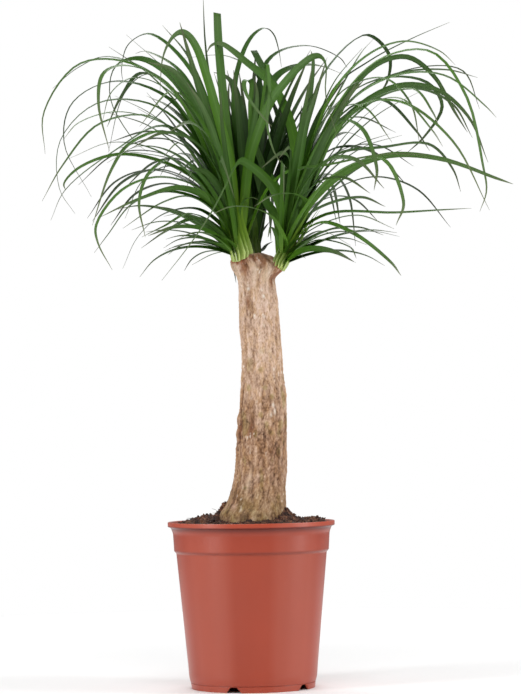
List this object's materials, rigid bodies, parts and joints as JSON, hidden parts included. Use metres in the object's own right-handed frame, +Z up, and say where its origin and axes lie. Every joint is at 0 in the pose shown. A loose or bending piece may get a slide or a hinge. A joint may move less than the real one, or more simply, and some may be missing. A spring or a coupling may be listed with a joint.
{
  "type": "potted ponytail palm",
  "caption": "Potted ponytail palm: corky bare trunk with heads of long arching strap leaves, standing in soil in a round lipped nursery pot.",
  "frame": {"origin": "centre of the pot's foot, on the surface that the pot stands on", "axes": "+Z up along the pot's axis, -Y towards the front view of the plant, +X to that view's right"},
  "size_m": [0.6646, 0.6049, 1.0066],
  "materials": {
    "pot_plastic": "satin terracotta-coloured injection-moulded plastic",
    "soil": "dark damp peat mix with crumbs and fine fibres",
    "bark": "dry corky bark in long wandering ridges, beige with brown fissures",
    "leaf": "smooth satin green strap leaves, paler underneath and at their bases"
  },
  "bodies": {
    "root": {"pot": "pot_plastic", "soil": "soil", "trunk": "bark", "head_left": "leaf", "head_right": "leaf", "head_back": "leaf"}
  },
  "joints": []
}
